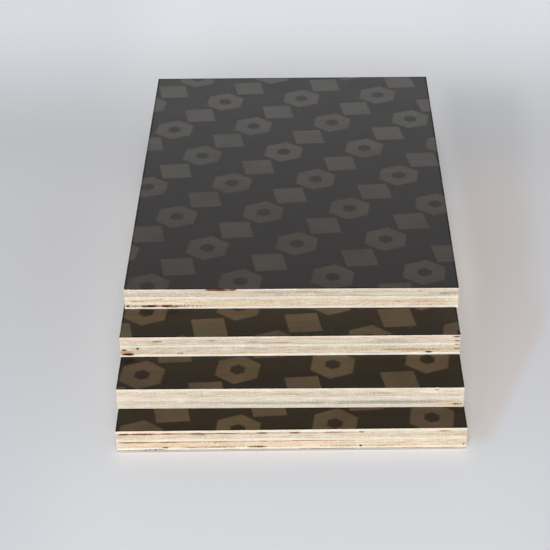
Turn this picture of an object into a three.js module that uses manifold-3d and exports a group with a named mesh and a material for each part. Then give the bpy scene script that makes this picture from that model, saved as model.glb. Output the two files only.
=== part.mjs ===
// A staircase stack of film-faced plywood sheets. The sheets are alike, lie flat on each other and stand
// a little out of line, each one set back from the front edge of the sheet below it.
// Millimetres. X runs across the sheets, Y from front to back and Z up.
// The origin is on the floor, under the middle of the stack.

import * as THREE from "three";
import { mergeVertices } from "three/addons/utils/BufferGeometryUtils.js";
import Module from "manifold-3d";

// ---- Driving dimensions

const SHEET_WIDTH = 210;
const SHEET_LENGTH = 305;
const FILM_THICKNESS = 0.2;

// Each sheet, from the floor up.
// setBack: how far its front edge lies behind the front edge of the sheet below.
// shift: how far the middle of its front edge lies to the right of the lowest sheet's.
// turn: degrees anticlockwise, about the middle of its front edge.
// plies: thickness of each veneer, from the back film up to the face film.
// voids: open glue joints and gaps in a core veneer, seen on the sawn front edge. `at` is the distance
// from the sheet's left edge, or from its right edge where it is below zero, and `up` the distance above
// the veneer's underside, both to the void's middle.
// chips: places on the front edge where the film and the veneer under it broke away, with the same `at`.
const SHEETS = [
  {
    name: "sheet_1",
    setBack: 0,
    shift: 0,
    turn: 0.6,
    plies: {
      back_veneer: 1.9,
      lower_core_outer: 2.2,
      lower_core_inner: 2.1,
      centre_veneer: 2.1,
      upper_core_inner: 1.3,
      upper_core_outer: 2.7,
      face_veneer: 2.2,
    },
    voids: [
      { ply: "lower_core_outer", at: 29.4, up: 0.2, length: 2.8, height: 0.5, depth: 3 },
      { ply: "lower_core_outer", at: 83.4, up: 0.1, length: 8.9, height: 0.6, depth: 3 },
      { ply: "lower_core_outer", at: -87.4, up: 0.1, length: 1.0, height: 0.7, depth: 2 },
      { ply: "lower_core_outer", at: -63.6, up: 0.1, length: 1.5, height: 1.0, depth: 3 },
      { ply: "lower_core_outer", at: -1.7, up: 0.4, length: 1.0, height: 0.8, depth: 2 },
    ],
    chips: [
      { side: "back", at: 20.4, length: 4.8, bite: 0.6, drop: 0.4 },
      { side: "back", at: 25.6, length: 3.9, bite: 0.5, drop: 0.4 },
    ],
  },
  {
    name: "sheet_2",
    setBack: 21,
    shift: -0.7,
    turn: 0.1,
    plies: {
      back_veneer: 2.5,
      lower_core_outer: 1.4,
      lower_core_inner: 1.5,
      centre_veneer: 3.0,
      upper_core_inner: 3.0,
      upper_core_outer: 1.2,
      face_veneer: 1.9,
    },
    voids: [
      { ply: "lower_core_outer", at: -3.8, up: 0.2, length: 4.2, height: 0.5, depth: 2 },
    ],
    chips: [{ side: "face", at: -16.1, length: 1.6, bite: 0.4, drop: 0.8 }],
  },
  {
    name: "sheet_3",
    setBack: 33.8,
    shift: -0.8,
    turn: 0.3,
    plies: {
      back_veneer: 1.7,
      lower_core_outer: 2.0,
      lower_core_inner: 3.2,
      centre_veneer: 1.6,
      upper_core_inner: 3.2,
      upper_core_outer: 1.5,
      face_veneer: 1.3,
    },
    voids: [
      { ply: "lower_core_outer", at: 4.6, up: 0.2, length: 6.3, height: 0.9, depth: 4 },
      { ply: "lower_core_inner", at: 2.4, up: 1.3, length: 2.4, height: 0.5, depth: 2 },
      { ply: "lower_core_inner", at: 10.8, up: 2.1, length: 1.3, height: 1.0, depth: 6 },
      { ply: "lower_core_outer", at: -19.5, up: 0.6, length: 3.3, height: 0.6, depth: 3 },
    ],
    chips: [],
  },
  {
    name: "sheet_4",
    setBack: 30.7,
    shift: 0,
    turn: 0,
    plies: {
      back_veneer: 1.7,
      lower_core_outer: 2.6,
      lower_core_inner: 2.6,
      centre_veneer: 1.9,
      upper_core_inner: 2.1,
      upper_core_outer: 2.1,
      face_veneer: 1.5,
    },
    voids: [
      { ply: "lower_core_outer", at: 2.0, up: 0.5, length: 1.4, height: 1.0, depth: 4 },
      { ply: "lower_core_outer", at: 11.8, up: 0.4, length: 2.6, height: 0.5, depth: 2 },
      { ply: "lower_core_outer", at: 17.3, up: 0.4, length: 9.2, height: 0.9, depth: 5 },
      { ply: "lower_core_outer", at: 26.7, up: 0.4, length: 7.8, height: 0.8, depth: 4 },
      { ply: "lower_core_outer", at: -17.3, up: 0.3, length: 0.9, height: 0.6, depth: 2 },
    ],
    chips: [
      { side: "face", at: 0.6, length: 7.0, bite: 1.1, drop: 0.6 },
      { side: "face", at: 53.2, length: 5.6, bite: 0.7, drop: 1.2 },
      { side: "face", at: 60.5, length: 7.7, bite: 0.9, drop: 1.3 },
      { side: "face", at: 68.5, length: 2.8, bite: 0.6, drop: 1.1 },
    ],
  },
];

// A scoop is an ellipsoid with this many facets round it and from pole to pole.
const SCOOP_ROUND = 12;
const SCOOP_RINGS = 8;

// Layer levels are rounded to this binary fraction of a millimetre, which 32-bit numbers hold exactly,
// so the faces of two layers that lie on each other are in one plane.
const LEVEL_STEP = 1 / 1024;

const FINISHES = {
  film: { color: 0x2f2722, roughness: 0.4, metalness: 0 },
  longGrain: { color: 0xe4d2bd, roughness: 0.8, metalness: 0 },
  crossGrain: { color: 0xd3be9f, roughness: 0.9, metalness: 0 },
};

const wasm = await Module();
wasm.setup();

// ---- Solids

function toSolid(geometry) {
  const bare = geometry.clone();
  bare.deleteAttribute("normal");
  bare.deleteAttribute("uv");
  const merged = mergeVertices(bare);
  return new wasm.Manifold(
    new wasm.Mesh({
      numProp: 3,
      vertProperties: merged.attributes.position.array,
      triVerts: new Uint32Array(merged.index.array),
    }),
  );
}

function toGeometry(solid) {
  const mesh = solid.getMesh();
  const indexed = new THREE.BufferGeometry();
  indexed.setAttribute("position", new THREE.BufferAttribute(mesh.vertProperties, mesh.numProp));
  indexed.setIndex(new THREE.BufferAttribute(mesh.triVerts, 1));
  const geometry = indexed.toNonIndexed();
  geometry.computeVertexNormals();
  return geometry;
}

// The plain layer: the sheet's outline with its front edge on the X axis, standing on Z = 0.
function plate(thickness) {
  const outline = new THREE.Shape();
  outline.moveTo(-SHEET_WIDTH / 2, 0);
  outline.lineTo(SHEET_WIDTH / 2, 0);
  outline.lineTo(SHEET_WIDTH / 2, SHEET_LENGTH);
  outline.lineTo(-SHEET_WIDTH / 2, SHEET_LENGTH);
  outline.closePath();
  return new THREE.ExtrudeGeometry(outline, { depth: thickness, bevelEnabled: false });
}

// A hollow in the front edge: an ellipsoid centred on it, `at` from the nearer side and at height z.
function scoop(at, z, length, depth, height) {
  const fromMiddle = at < 0 ? SHEET_WIDTH / 2 + at : at - SHEET_WIDTH / 2;
  const ellipsoid = new THREE.SphereGeometry(1, SCOOP_ROUND, SCOOP_RINGS);
  ellipsoid.scale(length / 2, depth, height / 2);
  ellipsoid.translate(fromMiddle, 0, z);
  return ellipsoid;
}

// ---- Layers

function onLevel(z) {
  return Math.round(z / LEVEL_STEP) * LEVEL_STEP;
}

// Back film, veneers and face film, from the bottom up, each with its levels above the sheet's underside.
function layersOf(sheet) {
  const layers = [{ name: "back_film", thickness: FILM_THICKNESS, finish: FINISHES.film }];
  for (const [name, thickness] of Object.entries(sheet.plies)) {
    const finish = name.includes("core") ? FINISHES.crossGrain : FINISHES.longGrain;
    layers.push({ name, thickness, finish });
  }
  layers.push({ name: "face_film", thickness: FILM_THICKNESS, finish: FINISHES.film });

  let level = 0;
  for (const layer of layers) {
    layer.bottom = onLevel(level);
    level += layer.thickness;
    layer.top = onLevel(level);
  }
  return layers;
}

function thicknessOf(sheet) {
  return layersOf(sheet).at(-1).top;
}

function voidsIn(sheet, layer) {
  return sheet.voids
    .filter((gap) => gap.ply === layer.name)
    .map((gap) => scoop(gap.at, gap.up, gap.length, gap.depth, gap.height));
}

// A chip is deepest at the sheet's face or back, and reaches every layer within its drop.
function chipsIn(sheet, layer) {
  return sheet.chips
    .map((chip) => ({ ...chip, level: chip.side === "face" ? thicknessOf(sheet) : 0 }))
    .filter(({ level, drop }) => level - drop < layer.top && level + drop > layer.bottom)
    .map(({ at, level, length, bite, drop }) => scoop(at, level - layer.bottom, length, bite, 2 * drop));
}

function buildLayer(sheet, layer) {
  let solid = toSolid(plate(layer.top - layer.bottom));
  for (const hollow of [...voidsIn(sheet, layer), ...chipsIn(sheet, layer)]) {
    solid = solid.subtract(toSolid(hollow));
  }
  const mesh = new THREE.Mesh(toGeometry(solid), new THREE.MeshStandardMaterial(layer.finish));
  mesh.name = `${sheet.name}_${layer.name}`;
  mesh.position.z = layer.bottom;
  return mesh;
}

// ---- Stack

function buildSheet(sheet) {
  const group = new THREE.Group();
  for (const layer of layersOf(sheet)) {
    group.add(buildLayer(sheet, layer));
  }
  return group;
}

function buildStack() {
  const stack = new THREE.Group();
  let front = 0;
  let floor = 0;
  for (const sheet of SHEETS) {
    front += sheet.setBack;
    const group = buildSheet(sheet);
    group.position.set(sheet.shift, front, floor);
    group.rotation.z = THREE.MathUtils.degToRad(sheet.turn);
    stack.add(group);
    floor += thicknessOf(sheet);
  }
  return stack;
}

// The stack's group moves it so that the middle of its bounding box is over the origin.
const stack = buildStack();
const middle = new THREE.Box3().setFromObject(stack, true).getCenter(new THREE.Vector3());
stack.position.set(-middle.x, -middle.y, 0);

const part = new THREE.Group();
part.add(stack);

export default part;
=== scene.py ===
# %% [markdown]
# # A stack of film-faced plywood sheets
#
# Four small sheets of shuttering plywood lie on each other like a staircase. Each sheet is seven peeled
# veneers glued up between two thin sheets of dark resin-soaked paper, called film. The saw that cut the
# sheets to size left their edges bare, so every veneer shows there. The shape, size and place of each
# layer come from the CAD model, which is loaded first and is never moved.

# %% Load the frame
import math

import bpy
from mathutils import Matrix, Vector


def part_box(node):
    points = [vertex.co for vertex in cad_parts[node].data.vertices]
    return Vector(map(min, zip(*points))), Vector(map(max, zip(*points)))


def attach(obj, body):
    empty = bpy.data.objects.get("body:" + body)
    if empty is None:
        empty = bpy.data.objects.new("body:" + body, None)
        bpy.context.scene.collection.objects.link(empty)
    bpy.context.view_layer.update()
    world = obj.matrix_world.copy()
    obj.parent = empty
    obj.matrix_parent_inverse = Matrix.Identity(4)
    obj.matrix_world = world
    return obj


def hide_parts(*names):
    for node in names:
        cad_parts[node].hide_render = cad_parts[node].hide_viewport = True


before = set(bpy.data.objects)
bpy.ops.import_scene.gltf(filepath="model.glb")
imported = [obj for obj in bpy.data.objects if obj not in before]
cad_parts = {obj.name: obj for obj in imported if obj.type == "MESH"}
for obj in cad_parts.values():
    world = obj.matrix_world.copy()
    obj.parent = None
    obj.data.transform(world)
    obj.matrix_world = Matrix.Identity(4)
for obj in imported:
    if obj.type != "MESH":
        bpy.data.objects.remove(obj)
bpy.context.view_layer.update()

MM = 0.001
SHEETS = ("sheet_1", "sheet_2", "sheet_3", "sheet_4")
LOWEST_SHEET = SHEETS[0]
TOP_SHEET = SHEETS[-1]

# %% [markdown]
# ## Where each sheet lies
#
# The sheets are turned a little against each other, so each has a frame of its own: X along its front
# edge, Y towards the back. It could be typed in again, but then the two models could drift apart. The
# centre veneer of each sheet is a plain slab, so its corners give the sheet's width, length and turn.


# %% Measure the sheets
def measure_sheet(sheet):
    corners = [vertex.co.copy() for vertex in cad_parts[f"{sheet}_centre_veneer"].data.vertices]
    front_left = min(corners, key=lambda corner: corner.x + corner.y)
    front_right = min(corners, key=lambda corner: corner.y - corner.x)
    back_left = min(corners, key=lambda corner: corner.x - corner.y)
    along = (front_right - front_left).xy
    back = (back_left - front_left).xy
    return {
        "width": along.length,
        "length": back.length,
        "turn": math.atan2(along.y, along.x),
        "front": (front_left.xy + front_right.xy) / 2,
        "middle": (front_right.xy + back_left.xy) / 2,
        "underside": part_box(f"{sheet}_back_film")[0][2],
    }


places = {sheet: measure_sheet(sheet) for sheet in SHEETS}
for sheet, place in places.items():
    print(sheet, f"{place['width']:.4f} x {place['length']:.4f}, turned {math.degrees(place['turn']):.2f}")

# %% [markdown]
# ## Camera
#
# A long lens looks down on the stack from the front, like a catalogue picture. Its place is given from
# the middle of the top sheet's front edge, because that edge is what the eye checks first.

# %% Make the camera
FOCAL_LENGTH = 105.8
SENSOR_WIDTH = 36.0
CAMERA_FROM_EDGE = Vector((0.0077, -0.8497))
CAMERA_HEIGHT = 0.6089
LOOKS_LEFT = math.radians(1.184)
LOOKS_DOWN = math.radians(32.389)
TILT = math.radians(-0.983)

camera_data = bpy.data.cameras.new("camera")
camera_data.lens = FOCAL_LENGTH
camera_data.sensor_width = SENSOR_WIDTH
camera = bpy.data.objects.new("camera", camera_data)
spot = places[TOP_SHEET]["front"] + CAMERA_FROM_EDGE
aim = (
    Matrix.Rotation(LOOKS_LEFT, 4, "Z")
    @ Matrix.Rotation(math.pi / 2 - LOOKS_DOWN, 4, "X")
    @ Matrix.Rotation(TILT, 4, "Z")
)
camera.matrix_world = Matrix.Translation((spot.x, spot.y, CAMERA_HEIGHT)) @ aim
bpy.context.scene.collection.objects.link(camera)
bpy.context.scene.camera = camera
print("camera at", camera.location)

# %% [markdown]
# ## Helpers for node trees
#
# Materials and Geometry Nodes are both trees of nodes, and a formula in them takes one node for each
# step. Typed in node by node, it can't be read any more. So a `Signal` stands for a value that flows
# through a tree, and `a + b` or `1.0 - a` adds the node that works it out. `put` adds any other node.
# The helpers after it add the nodes that most materials need, and `make_group` builds a group of nodes
# with named sockets.


# %% Signals and nodes
class Signal:
    """A value that flows through a node tree. A sum of signals adds a node to their tree."""

    def __init__(self, socket):
        self.socket = socket

    def __add__(self, other):
        return maths("ADD", self, other)

    def __sub__(self, other):
        return maths("SUBTRACT", self, other)

    def __rsub__(self, other):
        return maths("SUBTRACT", other, self)

    def __mul__(self, other):
        return maths("MULTIPLY", self, other)

    def __truediv__(self, other):
        return maths("DIVIDE", self, other)

    def __abs__(self):
        return maths("ABSOLUTE", self)


def tree_of(*values):
    return next(value.socket.id_data for value in values if isinstance(value, Signal))


def feed(node, inputs):
    """Gives a node its inputs. A signal is linked, and anything else is typed into the socket."""
    for key, value in dict(inputs).items():
        if isinstance(value, Signal):
            node.id_data.links.new(value.socket, node.inputs[key])
        else:
            node.inputs[key].default_value = value


def add_node(tree, kind, inputs=(), **settings):
    node = tree.nodes.new(kind)
    for name, value in settings.items():
        setattr(node, name, value)
    feed(node, inputs)
    return node


def put(tree, kind, inputs=(), output=0, **settings):
    """Adds a node and gives back one of its outputs."""
    return Signal(add_node(tree, kind, inputs, **settings).outputs[output])


# %% Sums, vectors and ramps
def maths(operation, *values, clamp=False):
    return put(tree_of(*values), "ShaderNodeMath", enumerate(values), operation=operation, use_clamp=clamp)


def vectors(operation, *values):
    return put(tree_of(*values), "ShaderNodeVectorMath", enumerate(values), operation=operation)


def split(vector):
    """The X, Y and Z of a vector."""
    outputs = add_node(tree_of(vector), "ShaderNodeSeparateXYZ", {0: vector}).outputs
    return [Signal(socket) for socket in outputs]


def vector_of(x=0.0, y=0.0, z=0.0):
    return put(tree_of(x, y, z), "ShaderNodeCombineXYZ", {"X": x, "Y": y, "Z": z})


def ramp(value, low, high):
    """0 below low, 1 above high, and a smooth step between them."""
    inputs = {"Value": value, "From Min": low, "From Max": high}
    return put(tree_of(value), "ShaderNodeMapRange", inputs, interpolation_type="SMOOTHSTEP")


def fade(value, low, high):
    """1 below low, 0 above high, and a smooth step between them."""
    return 1.0 - ramp(value, low, high)


def noise(vector, scale, detail=2.0, roughness=0.5):
    inputs = {"Vector": vector, "Scale": scale, "Detail": detail, "Roughness": roughness}
    return put(tree_of(vector), "ShaderNodeTexNoise", inputs)


def noise_patterns(patterns):
    """Patterns by name. Each is listed with its place, scale, detail, roughness, beginning and end."""
    return {
        name: ramp(noise(place, scale, detail, roughness), begins, ends)
        for name, (place, scale, detail, roughness, begins, ends) in patterns.items()
    }


def from_dots(vector, scale):
    """How far it is to the nearest of many scattered dots."""
    return put(tree_of(vector), "ShaderNodeTexVoronoi", {"Vector": vector, "Scale": scale}, output="Distance")


def bump(height, strength, distance):
    """The normal of a surface with this fine relief."""
    inputs = {"Height": height, "Strength": strength, "Distance": distance}
    return put(tree_of(height), "ShaderNodeBump", inputs)


# A mix node has a pair of sockets for each kind of value. These are its share, its pair of numbers, its
# pair of colours and the colour that it gives back.
SHARE, NUMBERS, COLOURS, MIXED_COLOUR = 0, (2, 3), (6, 7), 2


def blend_numbers(share, first, second):
    return put(tree_of(share), "ShaderNodeMix", zip((SHARE, *NUMBERS), (share, first, second)))


def blend_colours(share, first, second, how="MIX"):
    tree = tree_of(share, first, second)
    inputs = zip((SHARE, *COLOURS), (share, first, second))
    return put(tree, "ShaderNodeMix", inputs, MIXED_COLOUR, data_type="RGBA", blend_type=how)


def shaded(colour, share, shade):
    """The colour, multiplied by the shade where the share is 1."""
    return blend_colours(share, colour, shade, "MULTIPLY")


# %% Groups
SOCKET_KINDS = {float: "NodeSocketFloat", int: "NodeSocketInt", tuple: "NodeSocketVector"}


def make_group(name, inputs, formula, kind="ShaderNodeTree", output_kind="NodeSocketFloat"):
    """A group of nodes. The formula gets its inputs by name and gives back its outputs by name.

    An input is listed with its usual value, or with the kind of its socket where it has none.
    """
    tree = bpy.data.node_groups.new(name, kind)
    for label, value in inputs.items():
        socket_kind = SOCKET_KINDS.get(type(value), value)
        socket = tree.interface.new_socket(label, in_out="INPUT", socket_type=socket_kind)
        if socket_kind != value:
            socket.default_value = value
    given = {socket.name: Signal(socket) for socket in tree.nodes.new("NodeGroupInput").outputs}
    outputs = formula(tree, given)
    for label in outputs:
        tree.interface.new_socket(label, in_out="OUTPUT", socket_type=output_kind)
    feed(tree.nodes.new("NodeGroupOutput"), outputs)
    print("group", name, "gives", ", ".join(outputs))
    return tree


def use_group(tree, group, inputs):
    """Places a shader group in a tree and gives back its outputs by name."""
    outputs = add_node(tree, "ShaderNodeGroup", inputs, node_tree=group).outputs
    return {socket.name: Signal(socket) for socket in outputs}


print("node helpers ready")

# %% [markdown]
# ## Where a point lies on its sheet
#
# Every wood and film pattern below is laid out in millimetres from the sheet's own left end, front edge
# and underside, so a pattern turns with its sheet. On a sawn edge it also matters which edge it is. The
# group tells how far along the edge a point is, whether that edge is an end or the front, whether the
# point lies inside a void or a chip of the front edge, where black shade is painted, and whether it lies
# on the outermost rim.


# %% Places on a sheet
def new_material(name):
    material = bpy.data.materials.new(name)
    material.use_nodes = True
    return material, material.node_tree, material.node_tree.nodes["Principled BSDF"]


def place_on_sheet(tree, sheet):
    place = places[sheet]
    turn = place["turn"]
    left = place["front"] - Vector((math.cos(turn), math.sin(turn))) * place["width"] / 2
    inputs = {
        "Vector": put(tree, "ShaderNodeTexCoord", output="Object"),
        "Location": (left.x, left.y, place["underside"]),
        "Rotation": (0, 0, turn),
        "Scale": (MM, MM, MM),
    }
    return put(tree, "ShaderNodeMapping", inputs, vector_type="TEXTURE")


# %% Shader group: edges
# All in millimetres: how far behind the front edge still counts as the front, how far behind the front
# and from the ends a point is surely inside a void, and how far from its edges a film is worn.
FRONT_ZONE = 12.0
SUNK_BEHIND_FRONT = (0.25, 0.8)
SUNK_FROM_END = (0.35, 0.7)
WORN_RIM = (0.5, 1.6)


def edge_place(tree, given):
    x, y, _ = split(given["Place"])
    to_end = maths("MINIMUM", x, given["Width"] - x)
    to_front = maths("MINIMUM", y, given["Length"] - y)
    on_end = maths("LESS_THAN", to_end, to_front)
    on_front = maths("LESS_THAN", y, FRONT_ZONE)
    # Inside a void or chip of the front edge, where black shade is painted.
    sunk = ramp(y, *SUNK_BEHIND_FRONT) * ramp(to_end, *SUNK_FROM_END)
    return {
        "Along": x + on_end * (y - x),
        "On End": on_end,
        "On Front": on_front,
        "Sunk": sunk * on_front,
        "Rim": fade(maths("MINIMUM", to_end, to_front), *WORN_RIM),
    }


EDGE = make_group("edge place", {"Place": (0.0, 0.0, 0.0), "Width": 210.0, "Length": 305.0}, edge_place)


def edge_of(tree, sheet, place):
    width, length = (places[sheet][side] / MM for side in ("width", "length"))
    return use_group(tree, EDGE, {"Place": place, "Width": width, "Length": length})

# %% [markdown]
# ## Floor
#
# The stack lies on a big sheet of matt studio paper. A paper sweep with a wall behind would stand in the
# way when the stack is looked at from the back, so the paper lies flat and reaches far out. Painted light
# and shade change the paper's tone softly from front to back and make it a little darker on the left and
# on the right. A wide soft shadow is painted on the right of the stack. It is warm beside the sheets and
# neutral at the back. Warm light from the pale sawn edges is painted onto the paper beside and in front of
# them, and a hair-thin painted contact shadow runs where the lowest sheet touches the paper.

# %% Tones and painted shade of the paper
FLOOR_HALF_SIDE = 8.0
PAPER_ROUGHNESS = 0.9
FRONT_PAPER = (0.632, 0.632, 0.645, 1)
# Painted light and shade on the paper, from the front to the back: where each change of tone begins and ends,
# in metres, and the new tone.
PAINTED_LIGHT_ON_PAPER = (
    (-0.25, 0.05, (0.615, 0.608, 0.62, 1)),
    (0.1, 0.22, (0.59, 0.585, 0.592, 1)),
    (0.195, 0.485, (0.85, 0.855, 0.88, 1)),
)
# Painted shade: the paper grows a little darker towards the left and the right of the stack.
SIDES_BEGIN = (0.1, 0.18)
PAINTED_LEFT_SHADE = (0.925, 0.93, 0.945, 1)
PAINTED_RIGHT_SHADE = (0.97, 0.97, 0.98, 1)

# The wide painted shadow on the right, in metres. Each side of it is soft: it begins and ends.
PAINTED_WARM_SHADOW = (0.95, 0.895, 0.84, 1)
PAINTED_FAR_SHADOW = (0.88, 0.885, 0.88, 1)
NEAR_SIDE = (0.12, 0.14)
NEAR_SIDE_LEAN = 0.12
FAR_SIDE = (0.155, 0.19)
FAR_SIDE_LEAN = 0.08
FRONT_SIDE = (-0.193, -0.181)
BACK_SIDE = (0.26, 0.34)
FRONT_CORNER = (0.19, 0.201)
CORNER_SLANT = 0.4
WARM_TO_FAR = (0.08, 0.24)

# Painted light from the pale edges, and a painted contact shadow: beside the stack in metres, in front of it
# in millimetres.
PAINTED_SIDE_LIGHT = (1.09, 1.04, 0.975, 1)
SIDE_GLOW_FROM = 0.09
SIDE_GLOW_FADES = (0.0, 0.13)
PAINTED_FRONT_LIGHT = (1.11, 1.09, 1.06, 1)
FRONT_GLOW_GROWS = (-26.0, -3.0)
PAINTED_CLOSE_LIGHT = (1.09, 1.09, 1.09, 1)
CLOSE_GLOW_GROWS = (-3.8, -1.8)
PAINTED_CONTACT_SHADOW = (0.50, 0.48, 0.46, 1)
CONTACT_BEGINS = (-1.8, -1.2)
CONTACT_ENDS = (-0.8, -0.2)
GLOW_FADES_BY_CORNERS = 7.0
UNDER_FRONT = 5.0


# %% Paper floor
def paint_shadow_beside_stack(tone, x, y):
    near = ramp(x - maths("MINIMUM", y, 0.0) * NEAR_SIDE_LEAN, *NEAR_SIDE)
    far = ramp(x - maths("MAXIMUM", y, 0.0) * FAR_SIDE_LEAN, *FAR_SIDE)
    behind_front = ramp(y, *FRONT_SIDE)
    # Painted warm light from the pale side edges, on the paper just right of the stack.
    beside = (1.0 - near) * maths("GREATER_THAN", x, SIDE_GLOW_FROM) * fade(y, *SIDE_GLOW_FADES)
    tone = shaded(tone, beside * behind_front, PAINTED_SIDE_LIGHT)
    # Painted shadow of the stack on the paper to its right, warm near the sheets and neutral further back.
    shade = (near - far) * fade(x - y * CORNER_SLANT, *FRONT_CORNER) * behind_front
    shade = shade * fade(y, *BACK_SIDE)
    return shaded(tone, shade, blend_colours(ramp(y, *WARM_TO_FAR), PAINTED_WARM_SHADOW, PAINTED_FAR_SHADOW))


def paint_light_and_contact_shadow_before_stack(tone, tree):
    along, behind, _ = split(place_on_sheet(tree, LOWEST_SHEET))
    half_width = places[LOWEST_SHEET]["width"] / MM / 2
    from_middle = abs(along - half_width)
    reach = (half_width - GLOW_FADES_BY_CORNERS, half_width + GLOW_FADES_BY_CORNERS)
    in_front = fade(from_middle, *reach) * maths("LESS_THAN", behind, UNDER_FRONT)
    # Painted light from the pale front edge, a wide pool and a closer brighter band.
    tone = shaded(tone, ramp(behind, *FRONT_GLOW_GROWS) * in_front, PAINTED_FRONT_LIGHT)
    tone = shaded(tone, ramp(behind, *CLOSE_GLOW_GROWS) * in_front, PAINTED_CLOSE_LIGHT)
    in_front = in_front * maths("LESS_THAN", from_middle, half_width)
    # Painted contact shadow: a hair-thin dark line on the paper in front of the lowest sheet.
    contact = ramp(behind, *CONTACT_BEGINS) - ramp(behind, *CONTACT_ENDS)
    return shaded(tone, contact * in_front, PAINTED_CONTACT_SHADOW)


def make_paper():
    material, tree, surface = new_material("studio paper")
    x, y, _ = split(put(tree, "ShaderNodeTexCoord", output="Object"))
    tone = FRONT_PAPER
    # Painted light and shade: the paper darkens towards the middle and brightens towards the back.
    for begins, ends, paper in PAINTED_LIGHT_ON_PAPER:
        tone = blend_colours(ramp(y, begins, ends), tone, paper)
    tone = shaded(tone, ramp(x * -1.0, *SIDES_BEGIN), PAINTED_LEFT_SHADE)
    tone = shaded(tone, ramp(x, *SIDES_BEGIN), PAINTED_RIGHT_SHADE)
    tone = paint_shadow_beside_stack(tone, x, y)
    feed(surface, {"Base Color": paint_light_and_contact_shadow_before_stack(tone, tree), "Roughness": PAPER_ROUGHNESS})
    return material


paper_mesh = bpy.data.meshes.new("paper_floor")
corners = [(x * FLOOR_HALF_SIDE, y * FLOOR_HALF_SIDE, 0) for x, y in ((-1, -1), (1, -1), (1, 1), (-1, 1))]
paper_mesh.from_pydata(corners, [], [(0, 1, 2, 3)])
paper_mesh.materials.append(make_paper())
floor = bpy.data.objects.new("paper_floor", paper_mesh)
bpy.context.scene.collection.objects.link(floor)
print("floor", 2 * FLOOR_HALF_SIDE, "m square")

# %% [markdown]
# ## Light
#
# Two large soft lamps light the stack from its front, one low and one from high above it. The room itself
# gives half of the light: its walls are pale, its ceiling is darker and darkest straight overhead, and the
# smooth film shows that. The lamps are hidden from the camera, so that they never show in a picture.

# %% Lamps
LAMP_COLOUR = (0.95, 0.975, 1.0)
# Name, place and side in metres, and level.
LAMPS = (
    ("front_lamp", (-0.25, -1.65, 0.45), 1.0, 0.635),
    ("high_lamp", (0.0, -0.9, 3.6), 1.9, 0.40),
)


def add_lamp(name, location, size, level):
    """A square lamp that looks at the stack. Level 1 shows a surface facing it in its own colour."""
    away = Vector(location).length
    lamp = bpy.data.lights.new(name, "AREA")
    lamp.shape = "SQUARE"
    lamp.size = size
    lamp.energy = level * math.pi**2 * away**2
    lamp.color = LAMP_COLOUR
    holder = bpy.data.objects.new(name, lamp)
    aim_at_stack = (-Vector(location)).to_track_quat("-Z", "Y").to_matrix().to_4x4()
    holder.matrix_world = Matrix.Translation(location) @ aim_at_stack
    holder.visible_camera = False
    bpy.context.scene.collection.objects.link(holder)


for lamp in LAMPS:
    add_lamp(*lamp)
print(len(LAMPS), "lamps")

# %% Room
NEAR_WALL = (1.15, 1.15, 1.15, 1)
FAR_WALL = (1.15, 1.16, 1.18, 1)
CEILING = (0.46, 0.465, 0.475, 1)
OVERHEAD = (0.16, 0.162, 0.166, 1)
# Where one tone turns into the next: -1 is straight behind or below the eye, 1 straight ahead or above.
NEAR_TO_FAR = (-0.4, 0.4)
WALL_TO_CEILING = (0.33, 0.57)
CEILING_TO_OVERHEAD = (0.7, 0.9)

world = bpy.data.worlds.new("pale room")
world.use_nodes = True
_, ahead, up = split(put(world.node_tree, "ShaderNodeTexCoord", output="Generated"))
room = blend_colours(ramp(ahead, *NEAR_TO_FAR), NEAR_WALL, FAR_WALL)
room = blend_colours(ramp(up, *WALL_TO_CEILING), room, CEILING)
room = blend_colours(ramp(up, *CEILING_TO_OVERHEAD), room, OVERHEAD)
feed(world.node_tree.nodes["Background"], {"Color": room})
bpy.context.scene.world = world
bpy.context.scene.view_settings.view_transform = "Standard"
print("pale walls and a darker ceiling")

# %% [markdown]
# ## Wood grain
#
# Wood is a bundle of fibres. A noise that is stretched far along the fibres and squeezed across them
# gives streaks on a face cut along the grain and specks on a face cut across it, from one solid pattern.
# An image would need two pictures, and they would not meet at the corners. A peeled veneer is cut round
# the log, so its year rings lie flat. They come out on every edge as long level streaks of darker and
# lighter wood, with shorter streaks in them, and they also turn the wood a little pink or greenish.

# %% Shader group: fibres
# Sizes in millimetres: along the sheet, across it and through its thickness.
RING_SIZE = (38.0, 38.0, 0.8)
STREAK_SIZE = (8.0, 8.0, 0.6)
# The shifts keep patterns that lie on the same rings apart.
PINK_SHIFT = (31, 17, 5)
SAGE_SHIFT = (7, 43, 19)
STREAK_SHIFT = (3, 11, 29)
PORES_IN_A_FIBRE = 1.1
PORE_RADIUS = (0.1, 0.24)


def wood_fibres(tree, given):
    offset = vector_of(given["Seed"], given["Seed"])
    fibres, rings, streaks = (
        vectors("ADD", vectors("DIVIDE", given["Place"], size), offset)
        for size in (given["Fibre Size"], RING_SIZE, STREAK_SIZE)
    )
    patterns = {
        "Rings": (rings, 1.0, 3.0, 0.6, 0.36, 0.64),
        "Pink": (vectors("ADD", rings, PINK_SHIFT), 0.8, 2.0, 0.5, 0.45, 0.7),
        "Sage": (vectors("ADD", rings, SAGE_SHIFT), 0.8, 2.0, 0.5, 0.45, 0.7),
        "Streaks": (vectors("ADD", streaks, STREAK_SHIFT), 1.0, 2.0, 0.6, 0.33, 0.67),
        "Fine": (fibres, 1.3, 2.0, 0.6, 0.33, 0.67),
    }
    return noise_patterns(patterns) | {"Pores": fade(from_dots(fibres, PORES_IN_A_FIBRE), *PORE_RADIUS)}


inputs = {"Place": (0.0, 0.0, 0.0), "Fibre Size": (12.0, 1.5, 0.3), "Seed": 0.0}
FIBRES = make_group("wood fibres", inputs, wood_fibres)

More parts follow.
